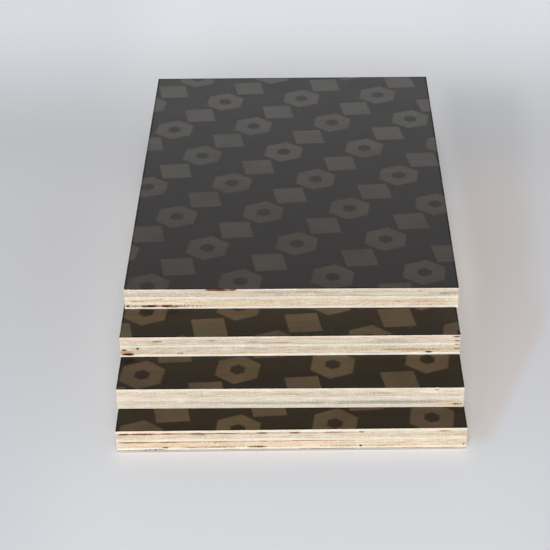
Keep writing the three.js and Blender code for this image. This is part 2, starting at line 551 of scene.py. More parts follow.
# %% [markdown]
# ## Knife checks
#
# The knife that peels a veneer bends it open, and the open side splits in short slanting cracks a
# millimetre or two apart. They show wherever a veneer is cut across its grain. The group draws them as
# thin lines at random places along the edge, from one side of the veneer to a bit past its middle. A
# veneer splits where it was dry or the knife was blunt, so the lines come in patches.

# %% Shader group: knife checks
CHECK_WIDTH = (0.01, 0.06)
CHECK_WOBBLE = 0.35
WOBBLES_PER_CHECK = 1.5
CHECK_REACH = (0.45, 0.75)
CHECK_PATCHES = (0.48, 0.62)
PATCHES_PER_MM = 0.06
CHECK_SEED_STEP = 17.0


def knife_checks(tree, given):
    along, height, seed = given["Along"], given["Height"], given["Seed"]
    spot = (along + height * given["Slope"]) / given["Spacing"]
    spot = spot + noise(vector_of(spot, height, seed), WOBBLES_PER_CHECK) * CHECK_WOBBLE
    inputs = {"W": spot + seed * CHECK_SEED_STEP, "Scale": 1.0}
    away = put(tree, "ShaderNodeTexVoronoi", inputs, output="Distance", voronoi_dimensions="1D")
    line = fade(away, *CHECK_WIDTH) * fade(height / given["Thickness"], *CHECK_REACH)
    return {"Mask": line * ramp(noise(vector_of(x=along, z=seed), PATCHES_PER_MM), *CHECK_PATCHES)}


inputs = {"Along": 0.0, "Height": 0.0, "Thickness": 2.0, "Spacing": 2.2, "Slope": 0.9, "Seed": 0.0}
CHECKS = make_group("knife checks", inputs, knife_checks)

# %% [markdown]
# ## Saw marks
#
# A circular saw leaves faint upright scratches on every edge that it cuts. They run through all the
# layers, so their pattern depends on the place along the edge, and hardly on the height.

# %% Shader group: saw marks
SAW_SLANT = 0.12
SAW_BREAKS_PER_MM = 0.08
SAW_GRAIN = {"scale": 1.0, "detail": 3.0, "roughness": 0.6}
SAW_TONES = (0.3, 0.7)


def saw_marks(tree, given):
    slanted = given["Along"] / given["Spacing"] + given["Height"] * SAW_SLANT
    spot = vector_of(slanted, given["Height"] * SAW_BREAKS_PER_MM, given["Seed"])
    return {"Marks": ramp(noise(spot, **SAW_GRAIN), *SAW_TONES)}


SAW = make_group("saw marks", {"Along": 0.0, "Height": 0.0, "Spacing": 0.9, "Seed": 0.0}, saw_marks)

# %% [markdown]
# ## Glue lines
#
# The resin between two veneers shows on the edge as a hair-thin brown line. It comes and goes, because
# the saw smears it and the glue was spread unevenly. The group draws one such line at a given level. The
# veneers above and below share its level and its seed, so the line crosses from one to the other.

# %% Shader group: glue line
GLUE_WANDER = 0.4
GLUE_WAVES = {"scale": 0.25, "detail": 3.0}
GLUE_RUNS = {"scale": 0.07, "detail": 5.0, "roughness": 0.7}
GLUE_FADES = 0.1


def glue_line(tree, given):
    spot = vector_of(x=given["Along"], z=given["Seed"])
    level = given["Level"] + (noise(spot, **GLUE_WAVES) - 0.5) * GLUE_WANDER
    line = fade(abs(given["Height"] - level), 0.0, given["Thickness"])
    shown = noise(spot, **GLUE_RUNS) - (1.0 - given["Cover"])
    return {"Mask": line * ramp(shown, -GLUE_FADES, GLUE_FADES)}


inputs = {"Along": 0.0, "Height": 0.0, "Level": 0.0, "Thickness": 0.15, "Cover": 0.5, "Seed": 0.0}
GLUE = make_group("glue line", inputs, glue_line)

# %% [markdown]
# ## Stains
#
# Resin that squeezed into the wood, bark, a knot or a pocket of dirt leaves a soft-edged spot. One group
# draws a ragged oval. With more dashes to the millimetre and a more ragged rim, the same oval breaks up
# into a row of dots and dashes, as where the saw tore a glue line open. Each real stain is then one line
# in a table: its place, its size and its colour. A long flat stain is a stretch of a dark glue line.

# %% Shader group: stain
STAIN_GRAIN = {"scale": 0.55, "detail": 4.0, "roughness": 0.65}
STAIN_FLATNESS = 3.0
STAIN_RIM = (0.25, 0.55)


def ragged_oval(tree, given):
    along, height, dashes = given["Along"], given["Height"], given["Dashes"]
    x = (along - given["Middle Along"]) / given["Length"]
    z = (height - given["Middle Height"]) / given["Depth"]
    oval = maths("SQRT", maths("POWER", x, 2.0) + maths("POWER", z, 2.0))
    spot = vector_of(along * dashes, height * STAIN_FLATNESS / dashes, given["Seed"])
    rough = (noise(spot, **STAIN_GRAIN) - 0.5) * given["Ragged"]
    return {"Mask": fade(oval + rough, *STAIN_RIM)}


inputs = {"Along": 0.0, "Height": 0.0, "Middle Along": 0.0, "Middle Height": 0.0}
inputs |= {"Length": 10.0, "Depth": 1.0, "Ragged": 0.8, "Dashes": 1.0, "Seed": 0.0}
STAIN = make_group("stain", inputs, ragged_oval)

# %% [markdown]
# ## Veneers
#
# The veneers come from different logs, so each has a tone of its own. Face, centre and back veneers run
# across the sheet, and their front edge is cut along the grain: pale and calm, with fine level streaks.
# The core veneers run from front to back, so their front edge is end grain, which soaks up light and
# looks duller. On the two ends of the sheet it is the other way round. The wood is bare, so it is matte
# everywhere. One function makes them all.

# %% Wood tones
CHALK = (0.95, 0.90, 0.845)
PALE = (0.87, 0.80, 0.715)
BIRCH = (0.82, 0.74, 0.645)
STRAW = (0.83, 0.725, 0.59)
PINKISH = (0.84, 0.715, 0.65)
GREYISH = (0.745, 0.685, 0.61)
TAN = (0.87, 0.72, 0.585)
END_GRAIN = 0.86
LIGHTEST = 0.95

# From the back veneer up to the face veneer: its tone and how light it is, in each of the four sheets.
TONES = {
    "back_veneer": ((PALE, 0.94), (PALE, 0.9), (CHALK, 1.0), (CHALK, 0.95)),
    "lower_core_outer": ((TAN, 1.09), (GREYISH, 1.27), (STRAW, 1.18), (STRAW, 1.23)),
    "lower_core_inner": ((BIRCH, 1.13), (GREYISH, 1.31), (BIRCH, 1.13), (STRAW, 1.22)),
    "centre_veneer": ((BIRCH, 0.94), (PALE, 0.9), (PALE, 1.0), (PALE, 0.98)),
    "upper_core_inner": ((BIRCH, 1.07), (BIRCH, 1.14), (GREYISH, 1.23), (GREYISH, 1.13)),
    "upper_core_outer": ((BIRCH, 1.04), (BIRCH, 1.2), (BIRCH, 1.16), (BIRCH, 1.09)),
    "face_veneer": ((BIRCH, 0.97), (PALE, 0.93), (PINKISH, 1.04), (PINKISH, 0.98)),
}
PLIES = tuple(TONES)
CORES = tuple(ply for ply in PLIES if "core" in ply)
print(len(PLIES), "veneers a sheet,", len(CORES), "of them cores")

# %% [markdown]
# ## What went wrong in each sheet
#
# Cheap shuttering board is full of small faults, and they make each sheet a real one. The stains and the
# stretches of glue line that show are listed with their middle and size in millimetres, along the front
# edge from the left and down from the top of the sheet. Random numbers could scatter them, but then the
# dark spots would not lie where the open joints and the chips are. Two rows of dark dashes along the
# lowest sheet's bottom edge are painted contact shadow, where it touches the paper.

# %% Faults on the front edges
BROWN = (0.36, 0.195, 0.09)
DARK_BROWN = (0.14, 0.06, 0.022)
RED_BROWN = (0.40, 0.19, 0.10)
DARK_RED = (0.13, 0.04, 0.02)
ORANGE = (0.80, 0.47, 0.24)
OLIVE = (0.33, 0.28, 0.14)
GREY = (0.42, 0.39, 0.33)
SLATE = (0.27, 0.248, 0.20)
UMBER = (0.20, 0.11, 0.045)
OCHRE = (0.60, 0.45, 0.20)
PINK = (0.80, 0.52, 0.42)
SAGE = (0.60, 0.58, 0.43)
BLACK = (0.04, 0.016, 0.005)
# Black of a dark glue line, and of the painted contact shadow under the lowest sheet.
DARK_GLUE_AND_CONTACT_SHADOW = (0.05, 0.02, 0.006)

# These colours come as rows of dots and dashes, the others as whole spots.
DASHED = (SLATE, UMBER, BROWN, OLIVE, DARK_GLUE_AND_CONTACT_SHADOW)

# Sheet, then (from left, from top, length, depth, colour, strength).
STAINS = {
    "sheet_1": (
        (24, 3.4, 44, 1.8, ORANGE, 0.5),
        (24, 9.6, 44, 1.8, ORANGE, 0.5),
        (130, 9.6, 50, 1.6, ORANGE, 0.35),
        (105, 10.5, 40, 2.0, ORANGE, 0.3),
        (50, 2.5, 115, 1.2, BROWN, 0.7),
        (5, 2.6, 9, 1.7, BLACK, 0.9),
        (16, 2.6, 21, 1.8, DARK_RED, 0.9),
        (31.2, 2.4, 10, 1.5, DARK_BROWN, 0.85),
        (49.6, 2.6, 14, 2.0, DARK_BROWN, 0.8),
        (66, 2.5, 18, 1.5, DARK_BROWN, 0.75),
        (87.6, 2.5, 9, 1.8, DARK_RED, 0.85),
        (107.5, 2.5, 9, 1.7, DARK_BROWN, 0.9),
        (130, 2.5, 15, 1.5, DARK_BROWN, 0.65),
        (147, 2.4, 4, 1.3, DARK_BROWN, 0.8),
        (196, 2.4, 8, 1.6, OLIVE, 0.9),
        (6, 8.8, 11, 1.1, DARK_BROWN, 0.9),
        (15, 8.8, 20, 1.6, DARK_BROWN, 0.7),
        (30.6, 8.8, 19, 1.6, DARK_BROWN, 0.7),
        (61, 8.7, 18, 1.3, BROWN, 0.85),
        (88, 8.6, 7, 1.3, BROWN, 0.8),
        (110, 8.6, 18, 0.9, BROWN, 0.8),
        (122, 8.6, 36, 1.1, DARK_BROWN, 0.42),
        (83, 12.7, 13, 1.7, OLIVE, 0.9),
        (86.5, 12.7, 9, 1.5, DARK_RED, 0.85),
        (45, 12.8, 12, 1.3, BROWN, 0.85),
        (62, 12.8, 22, 1.2, BROWN, 0.85),
        (29.4, 12.8, 5, 1.4, DARK_BROWN, 0.8),
        (136, 12.7, 24, 1.3, OLIVE, 0.8),
        (158, 12.8, 24, 1.1, UMBER, 0.5),
        (146.6, 12.7, 2.4, 1.5, BLACK, 0.9),
        # These two rows along the lowest sheet's bottom edge are painted contact shadow, broken into dashes.
        (21, 14.8, 18, 1.8, DARK_GLUE_AND_CONTACT_SHADOW, 0.9),
        (128, 14.9, 66, 1.4, DARK_GLUE_AND_CONTACT_SHADOW, 0.4),
        (65, 3.6, 30, 2.0, GREY, 0.2),
        (78, 4.6, 22, 1.4, PINK, 0.3),
        (205, 5.0, 12, 0.9, BROWN, 0.7),
        (178, 9.8, 12, 1.4, PINK, 0.6),
        (176, 9.4, 9, 1.2, SLATE, 0.4),
        (35, 2.55, 44, 1.1, DARK_BROWN, 0.45),
        (58, 2.5, 14, 1.0, DARK_BROWN, 0.3),
        (97, 2.5, 26, 0.9, DARK_BROWN, 0.3),
        (118.5, 2.5, 24, 0.9, DARK_BROWN, 0.3),
        (140, 2.5, 16, 0.9, DARK_BROWN, 0.35),
        (44, 8.7, 28, 1.0, DARK_BROWN, 0.45),
        (76, 8.7, 36, 1.0, DARK_BROWN, 0.42),
        (99, 8.7, 26, 1.0, DARK_BROWN, 0.42),
        (138, 8.6, 12, 0.9, DARK_BROWN, 0.3),
        (57, 12.8, 36, 0.9, DARK_BROWN, 0.3),
        (98, 12.8, 20, 0.9, DARK_BROWN, 0.3),
    ),
    "sheet_2": (
        (39.5, 3.6, 8, 1.4, OLIVE, 0.5),
        (100, 3.4, 30, 1.6, ORANGE, 0.3),
        (101, 4.2, 22, 1.4, OLIVE, 0.6),
        (158, 4.1, 24, 1.4, OLIVE, 0.6),
        (190, 3.2, 16, 1.8, STRAW, 0.6),
        (92, 9.4, 36, 1.6, SAGE, 0.5),
        (90, 11.0, 60, 2.6, SLATE, 0.5),
        (118, 10.8, 20, 2.2, SLATE, 0.5),
        (164, 10.6, 66, 3.4, GREY, 0.45),
        (162, 10.6, 74, 2.8, SLATE, 0.6),
        (195, 10.4, 26, 2.0, SLATE, 0.6),
        (203, 12.4, 24, 2.4, OCHRE, 0.55),
        (206, 12.5, 9, 1.5, UMBER, 0.8),
        (199, 11.2, 22, 1.4, PINK, 0.5),
        (193.5, 1.5, 4, 1.1, DARK_BROWN, 0.6),
        (12, 5.4, 24, 1.4, PINK, 0.4),
        (36, 5.4, 20, 1.0, PINK, 0.4),
        (112, 4.5, 24, 0.8, BROWN, 0.4),
        (60, 4.0, 30, 0.8, BROWN, 0.3),
        (135, 11.6, 18, 2.0, SLATE, 0.45),
        (103, 6.3, 14, 0.9, GREY, 0.35),
    ),
    "sheet_3": (
        (9, 2.2, 20, 1.3, PINK, 0.5),
        (23, 3.4, 7, 1.6, UMBER, 0.8),
        (3.4, 11.2, 9, 3.0, RED_BROWN, 0.8),
        (4.6, 12.9, 10, 2.3, BLACK, 1.0),
        (2.4, 9.6, 4, 1.4, BLACK, 0.9),
        (10.8, 8.7, 2.2, 1.8, BLACK, 0.95),
        (37, 12.4, 5, 1.6, OLIVE, 0.9),
        (56.5, 3.2, 5, 1.2, UMBER, 0.7),
        (82, 4.4, 9, 1.8, SLATE, 0.6),
        (100, 4.6, 20, 1.2, BROWN, 0.4),
        (80, 8.6, 9, 1.4, SLATE, 0.4),
        (104, 4.9, 20, 0.9, OLIVE, 0.6),
        (134, 4.4, 50, 3.0, SAGE, 0.6),
        (167, 4.5, 26, 3.0, SLATE, 0.4),
        (182, 10.8, 56, 3.4, OCHRE, 0.35),
        (164.6, 10.7, 6, 1.5, UMBER, 0.5),
        (170.8, 10.6, 13, 1.7, UMBER, 0.45),
        (179.6, 10.5, 13, 2.3, UMBER, 0.5),
        (186, 10.8, 7, 1.6, UMBER, 0.45),
        (193, 10.7, 16, 1.5, UMBER, 0.45),
        (128, 12.0, 40, 1.6, SAGE, 0.6),
        (191, 12.7, 6, 1.5, BLACK, 0.8),
        (95, 12.0, 16, 1.4, PINK, 0.5),
        (208, 1.4, 5.5, 1.7, DARK_BROWN, 0.95),
        (208, 4.4, 4.5, 1.2, DARK_BROWN, 0.75),
        (208, 7.3, 4.0, 1.1, DARK_BROWN, 0.7),
        (208, 10.3, 4.5, 1.3, DARK_BROWN, 0.75),
        (190, 5.0, 14, 1.8, PINK, 0.4),
        (100, 2.4, 60, 1.2, PINK, 0.3),
        (122, 6.2, 38, 1.0, GREY, 0.4),
        (8, 6.2, 18, 1.0, GREY, 0.35),
        (158, 13.0, 34, 1.2, GREY, 0.45),
        (66, 13.0, 12, 1.0, GREY, 0.4),
    ),
    "sheet_4": (
        (44.5, 1.0, 22, 1.5, GREY, 0.45),
        (60, 1.4, 30, 1.3, RED_BROWN, 0.45),
        (55, 0.7, 10, 1.8, DARK_RED, 0.95),
        (61, 0.9, 13, 2.1, DARK_RED, 0.95),
        (68.5, 0.7, 6, 1.8, DARK_RED, 0.95),
        (66, 4.2, 40, 2.4, PINK, 0.35),
        (22, 11.0, 44, 3.0, STRAW, 0.6),
        (62, 12.2, 64, 1.6, ORANGE, 0.45),
        (2.0, 12.5, 2.3, 1.9, BLACK, 0.95),
        (24, 12.65, 46, 2.1, DARK_GLUE_AND_CONTACT_SHADOW, 0.8),
        (23, 12.0, 40, 2.4, ORANGE, 0.35),
        (16.2, 12.6, 10.5, 1.8, BLACK, 1.0),
        (26.6, 12.6, 8, 1.8, BLACK, 1.0),
        (11.8, 12.6, 5, 1.3, DARK_BROWN, 0.85),
        (34, 12.6, 8, 1.2, DARK_BROWN, 0.5),
        (22, 7.6, 7, 0.9, BROWN, 0.6),
        (8, 8.9, 10, 1.2, BROWN, 0.7),
        (93, 2.4, 30, 1.6, OLIVE, 0.6),
        (114, 2.4, 20, 1.8, OLIVE, 0.6),
        (137, 4.6, 30, 2.4, GREY, 0.3),
        (148, 5.0, 14, 1.4, OLIVE, 0.6),
        (170, 4.2, 56, 2.6, SAGE, 0.6),
        (172, 10.0, 6, 1.1, BROWN, 0.8),
        (188, 10.0, 16, 0.9, BROWN, 0.6),
        (201, 4.2, 8, 2.6, SLATE, 0.8),
        (207, 3.8, 8, 2.8, OLIVE, 0.5),
        (44, 1.8, 20, 1.3, GREY, 0.45),
        (97, 1.8, 26, 1.2, GREY, 0.5),
        (73, 5.9, 36, 1.0, GREY, 0.35),
        (155, 5.9, 20, 1.1, GREY, 0.4),
        (190, 5.9, 18, 1.0, GREY, 0.35),
    ),
}

# How much of its glue lines each sheet shows, from 0 for none to 1 for all.
GLUE_COVER = {"sheet_1": 0.56, "sheet_2": 0.44, "sheet_3": 0.47, "sheet_4": 0.46}
print(sum(len(stains) for stains in STAINS.values()), "stains")

# %% Strengths of the wood's marks
# Fibres in millimetres.
FIBRE_LENGTH = 14.0
FIBRE_WIDTH = 1.4
FIBRE_DEPTH = 0.6
# Each pattern of the fibres, how strongly it shows, and its tint.
FIGURE = (
    ("Rings", 0.85, (0.84, 0.84, 0.80, 1)),
    ("Pink", 0.6, (0.99, 0.91, 0.90, 1)),
    ("Sage", 0.6, (0.92, 0.95, 0.84, 1)),
    ("Streaks", 1.0, (0.80, 0.76, 0.69, 1)),
    ("Fine", 1.0, (0.80, 0.76, 0.69, 1)),
)
LONG_GRAIN_FIGURE = 0.6
STREAK = (0.84, 0.79, 0.72, 1)
PORE = (0.55, 0.46, 0.36, 1)
SAW_SHOWS = 0.35
PORES_SHOW = 0.3
CHECKS_SHOW = 0.65
GLUE_SHOWS = 0.5
WHOLE_SPOT = {"Ragged": 0.7, "Dashes": 1.0}
DOTS_AND_DASHES = {"Ragged": 1.8, "Dashes": 2.5}
WOOD_GLOSS = 0.25
WOOD_ROUGHNESS = 0.7
FIBRE_ROUGHNESS = 0.2
FIBRE_RELIEF = 0.6
SAW_RELIEF = 0.5
WOOD_RELIEF = {"strength": 0.6, "distance": 0.00008}
# A seed moves a pattern, so that no two layers show the same stretch of it: its steps from sheet to sheet
# and from layer to layer, or from stain to stain.
WOOD_SEEDS = (31.0, 5.3)
GLUE_SEEDS = (11.0, 2.9)
SAW_SEED = 9.0
STAIN_SEED = 3.7
SHEET_DEPTH = (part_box(f"{TOP_SHEET}_face_film")[1][2] - places[TOP_SHEET]["underside"]) / MM
print("each sheet is", round(SHEET_DEPTH, 2), "mm thick")


# %% Stains on a veneer
def tinted(tone, light):
    return tuple(min(channel * light, LIGHTEST) for channel in tone) + (1,)


def opaque(tone):
    return tone + (1,)


def add_stains(tree, colour, sheet, edge, height, levels):
    """Adds those stains of the sheet that reach this veneer's levels."""
    for number, (along, down, length, depth, tone, strength) in enumerate(STAINS[sheet]):
        middle = SHEET_DEPTH - down
        if middle + depth < levels[0] or middle - depth > levels[1]:
            continue
        inputs = {
            "Along": edge["Along"],
            "Height": height,
            "Middle Along": along,
            "Middle Height": middle,
            "Length": length,
            "Depth": depth,
            "Seed": number * STAIN_SEED,
        }
        inputs |= DOTS_AND_DASHES if tone in DASHED else WHOLE_SPOT
        mask = use_group(tree, STAIN, inputs)["Mask"]
        share = maths("MULTIPLY", mask * edge["On Front"], strength, clamp=True)
        colour = blend_colours(share, colour, opaque(tone))
    return colour


# %% Veneer material
def seeded(steps, sheet_number, number):
    return sheet_number * steps[0] + number * steps[1]


def veneer_material(sheet, ply):
    material, tree, surface = new_material(f"{sheet} {ply} wood")
    sheet_number, ply_number = SHEETS.index(sheet), PLIES.index(ply)
    seed = seeded(WOOD_SEEDS, sheet_number, ply_number)
    place = place_on_sheet(tree, sheet)
    height = split(place)[2]
    edge = edge_of(tree, sheet, place)
    on_edge = {"Along": edge["Along"], "Height": height}
    levels = [(corner[2] - places[sheet]["underside"]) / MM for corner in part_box(f"{sheet}_{ply}")]

    fibre_size = (FIBRE_LENGTH, FIBRE_WIDTH, FIBRE_DEPTH)
    end_grain = edge["On End"]
    figure = LONG_GRAIN_FIGURE
    if ply in CORES:
        fibre_size = (FIBRE_WIDTH, FIBRE_LENGTH, FIBRE_DEPTH)
        end_grain = 1.0 - edge["On End"]
        figure = 1.0
    fibres = use_group(tree, FIBRES, {"Place": place, "Fibre Size": fibre_size, "Seed": seed})
    inputs = on_edge | {"Height": height - levels[0], "Thickness": levels[1] - levels[0], "Seed": seed}
    checks = use_group(tree, CHECKS, inputs)["Mask"] * end_grain
    saw = use_group(tree, SAW, on_edge | {"Seed": sheet_number * SAW_SEED})["Marks"]

    tone, light = TONES[ply][sheet_number]
    colour = blend_colours(end_grain, tinted(tone, light), tinted(tone, light * END_GRAIN))
    for name, strength, tint in FIGURE:
        colour = shaded(colour, fibres[name] * (strength * figure), tint)
    colour = shaded(colour, saw * SAW_SHOWS, STREAK)
    colour = shaded(colour, fibres["Pores"] * PORES_SHOW, PORE)
    colour = shaded(colour, checks * CHECKS_SHOW, PORE)
    for line, level in enumerate(levels, start=ply_number):
        seed = seeded(GLUE_SEEDS, sheet_number, line)
        inputs = on_edge | {"Level": level, "Cover": GLUE_COVER[sheet], "Seed": seed}
        glue = use_group(tree, GLUE, inputs)["Mask"]
        colour = blend_colours(glue * GLUE_SHOWS, colour, opaque(BROWN))
    colour = add_stains(tree, colour, sheet, edge, height, levels)
    # Painted shade: inside the open voids and chips of the front edge the wood is painted black.
    colour = blend_colours(edge["Sunk"], colour, opaque(BLACK))

    relief = fibres["Fine"] * FIBRE_RELIEF + saw * SAW_RELIEF - (fibres["Pores"] + checks)
    inputs = {
        "Base Color": colour,
        "Roughness": fibres["Fine"] * FIBRE_ROUGHNESS + WOOD_ROUGHNESS,
        "Specular IOR Level": WOOD_GLOSS,
        "Normal": bump(relief, **WOOD_RELIEF),
    }
    feed(surface, inputs)
    return material


wood = {f"{sheet}_{ply}": veneer_material(sheet, ply) for sheet in SHEETS for ply in PLIES}
print(len(wood), "veneer materials")

# %% [markdown]
# ## Film
#
# The film is kraft paper soaked in dark resin and pressed hard against the face veneer, so it is smooth
# and satin, and the wood under it shows through as faint long waves. The resin is brown on three sheets
# and greyer on the highest one. Each film has a gloss of its own and a dull, worn rim, and the one on
# the back is plain and matte. A maker prints slanting rows of pale marks on the face. Here the marks are
# a plain pattern of rings and lozenges. The ink is patchy, and on the highest sheet a painted sheen makes
# it paler and greyer towards the back.

# %% Shader group: printed rows
# Each row starts this share of a mark further along than the one before it.
ROW_SHIFT = 0.37
COS_30 = 0.866
SIN_30 = 0.5
LOZENGE_SQUEEZE = 1.1
# How far the ink's rim blurs, in millimetres to each side.
INK_BLUR = 0.8


def printed_rows(tree, given):
    x, y, _ = split(given["Place"])
    rows = y / given["Row Pitch"]
    row = maths("FLOOR", rows)
    v = abs((rows - row - 0.5) * given["Row Pitch"])
    cells = x / given["Mark Pitch"] + row * ROW_SHIFT
    cell = maths("FLOOR", cells)
    u = abs((cells - cell - 0.5) * given["Mark Pitch"])
    half = given["Mark Height"] / 2.0
    hexagon = maths("MAXIMUM", u, u * SIN_30 + v * COS_30) - half * COS_30
    half_stroke = given["Stroke"] * 0.5
    ring = abs(hexagon + half_stroke) - half_stroke
    lozenge = u * LOZENGE_SQUEEZE + v - half
    odd = maths("PINGPONG", cell + row, 1.0)
    return {"Mask": fade(blend_numbers(odd, ring, lozenge), -INK_BLUR, INK_BLUR)}


inputs = {"Place": (0.0, 0.0, 0.0), "Row Pitch": 43.0, "Mark Pitch": 29.0}
inputs |= {"Mark Height": 30.0, "Stroke": 8.5}
PRINT = make_group("printed rows", inputs, printed_rows)

# %% Shader group: film wear
# How long and wide a wave of the wood and a scratch are, in millimetres, and a scratch's turn in radians.
WAVE_SIZE = (40, 1.6, 1)
SCRATCH_SIZE = (26, 0.35, 1)
SCRATCH_TURN = 0.5
PEEL_PER_MM = 1.4
SPECKS_PER_MM = 0.16
SPECK_RADIUS = (0.02, 0.045)


def film_wear(tree, given):
    place = vectors("ADD", given["Place"], vector_of(x=given["Seed"], z=given["Seed"]))
    inputs = {"Vector": place, "Angle": SCRATCH_TURN}
    turned_place = put(tree, "ShaderNodeVectorRotate", inputs, rotation_type="Z_AXIS")
    patterns = {
        "Patches": (place, 0.03, 4.0, 0.6, 0.3, 0.7),
        "Tint": (place, 0.085, 2.0, 0.5, 0.38, 0.62),
        "Waves": (vectors("DIVIDE", place, WAVE_SIZE), 1.0, 3.0, 0.5, 0.3, 0.7),
        "Scratches": (vectors("DIVIDE", turned_place, SCRATCH_SIZE), 0.8, 2.0, 0.5, 0.68, 0.76),
    }
    dust = fade(from_dots(place, SPECKS_PER_MM), *SPECK_RADIUS)
    return noise_patterns(patterns) | {"Peel": noise(place, PEEL_PER_MM), "Dust": dust}


FILM = make_group("film wear", {"Place": (0.0, 0.0, 0.0), "Seed": 0.0}, film_wear)

# %% Film and ink
BROWN_FILM = (0.0115, 0.006, 0.001, 1)
GREY_FILM = (0.0105, 0.0075, 0.006, 1)
OLD_PRINT = (0.104, 0.070, 0.034, 1)
FAINT_PRINT = (0.055, 0.046, 0.033, 1)
# Painted sheen: the print at the back of the highest sheet is paler and greyer.
PRINT_WITH_PAINTED_SHEEN = (0.083, 0.075, 0.064, 1)
SAGE_TINT = (0.93, 1.03, 0.88, 1)
RED_TINT = (1.08, 0.94, 1.06, 1)
SCRATCH_COLOUR = (0.06, 0.055, 0.05, 1)
DUST_COLOUR = (0.25, 0.24, 0.22, 1)
# How strongly each sheet is printed, how far its rows are shifted in millimetres, its print in front and
# at the back, its film, and how glossy that is.
PRINTS = {
    "sheet_1": (0.9, 12, OLD_PRINT, OLD_PRINT, BROWN_FILM, 0.21),
    "sheet_2": (0.9, 31, OLD_PRINT, OLD_PRINT, BROWN_FILM, 0.21),
    "sheet_3": (0.9, 44, OLD_PRINT, OLD_PRINT, BROWN_FILM, 0.24),
    "sheet_4": (0.85, 20, FAINT_PRINT, PRINT_WITH_PAINTED_SHEEN, GREY_FILM, 0.25),
}
PRINT_SLANT = math.radians(52)
FRONT_TO_BACK = (30.0, 290.0)
INK_COVER = 0.7
PATCHY_INK = 0.3
WAVES_IN_INK = 0.2
SCRATCHES_SHOW = 0.12
DUST_SHOWS = 0.25
BACK_GLOSS = 0.1
FILM_ROUGHNESS = 0.28
DULL_PATCHES = 0.08
DULL_SCRATCHES = 0.1
DULL_RIM = 0.5
WAVE_RELIEF = 0.7
FILM_RELIEF = {"strength": 0.25, "distance": 0.00003}
# From sheet to sheet, and from a face film to a back film.
FILM_SEEDS = (41.0, 19.0)
print(len(PRINTS), "printed films")


# %% Film material
def printed_film(tree, sheet, place, wear):
    strength, shift, front_print, back_print, film_colour, _ = PRINTS[sheet]
    inputs = {"Vector": place, "Location": (0, shift, 0), "Rotation": (0, 0, PRINT_SLANT)}
    slanted = put(tree, "ShaderNodeMapping", inputs, vector_type="TEXTURE")
    marks = use_group(tree, PRINT, {"Place": slanted})["Mask"]
    cover = wear["Patches"] * PATCHY_INK + INK_COVER - wear["Waves"] * WAVES_IN_INK
    # On the highest sheet, painted sheen turns the print paler and greyer towards the back.
    ink = blend_colours(ramp(split(place)[1], *FRONT_TO_BACK), front_print, back_print)
    ink = shaded(ink, 1.0, blend_colours(wear["Tint"], SAGE_TINT, RED_TINT))
    return blend_colours(marks * cover * strength, film_colour, ink)


def film_material(sheet, printed):
    material, tree, surface = new_material(f"{sheet} {'face' if printed else 'back'} film")
    place = place_on_sheet(tree, sheet)
    seed = seeded(FILM_SEEDS, SHEETS.index(sheet), 0 if printed else 1)
    wear = use_group(tree, FILM, {"Place": place, "Seed": seed})
    rim = edge_of(tree, sheet, place)["Rim"]
    *_, film_colour, gloss = PRINTS[sheet]
    colour = printed_film(tree, sheet, place, wear) if printed else film_colour
    colour = blend_colours(wear["Scratches"] * SCRATCHES_SHOW, colour, SCRATCH_COLOUR)
    colour = blend_colours(wear["Dust"] * DUST_SHOWS, colour, DUST_COLOUR)
    dull = wear["Patches"] * DULL_PATCHES + FILM_ROUGHNESS + wear["Scratches"] * DULL_SCRATCHES
    inputs = {
        "Base Color": colour,
        "Roughness": dull + rim * DULL_RIM,
        "Specular IOR Level": gloss if printed else BACK_GLOSS,
        "Normal": bump(wear["Peel"] + wear["Waves"] * WAVE_RELIEF, **FILM_RELIEF),
    }
    feed(surface, inputs)
    return material


films = {f"{sheet}_face_film": film_material(sheet, True) for sheet in SHEETS}
films |= {f"{sheet}_back_film": film_material(sheet, False) for sheet in SHEETS}
print(len(films), "film materials")

# %% [markdown]
# ## A sawn layer
#
# Every veneer and film is a flat layer whose outline is a rectangle and whose edge was sawn. That is one
# rule for 36 pieces, so one Geometry Nodes tree makes them all. It draws the rectangle, cuts it into
# short steps, sweeps an upright line round it for the wall, and closes the wall with two caps. Then it
# pushes each point of the wall inwards: as far as the CAD layer is dug out there, which brings in the
# open joints and the chipped edge, and a little more for the grain, the saw and the groove at the glue.

# %% Sizes that the tree takes
# In metres, but Grain Size in millimetres. The sheet's size, place and turn are set for each layer.
LAYER_INPUTS = {
    "Solid": "NodeSocketObject",
    "Middle": (0.0, 0.0, 0.0),
    "Turn": 0.0,
    "Width": 0.21,
    "Length": 0.305,
    "Thickness": 0.002,
    "Front Step": 0.00035,
    "Other Step": 0.0015,
    "Row Height": 0.00025,
    "Grain Size": (8.0, 1.0, 0.5),
    "Relief": 0.0001,
    "Bare Share": 0.3,
    "Groove": 0.00008,
    "Seed": 0,
    "Material": "NodeSocketMaterial",
}
# How far in front of the edge the measuring ray starts, its length, and a distance the eye can't see.
REACH = 0.005
RAY_LENGTH = 4 * REACH
NUDGE = 0.00003
CORNERS = 4.0
print(len(LAYER_INPUTS), "inputs")


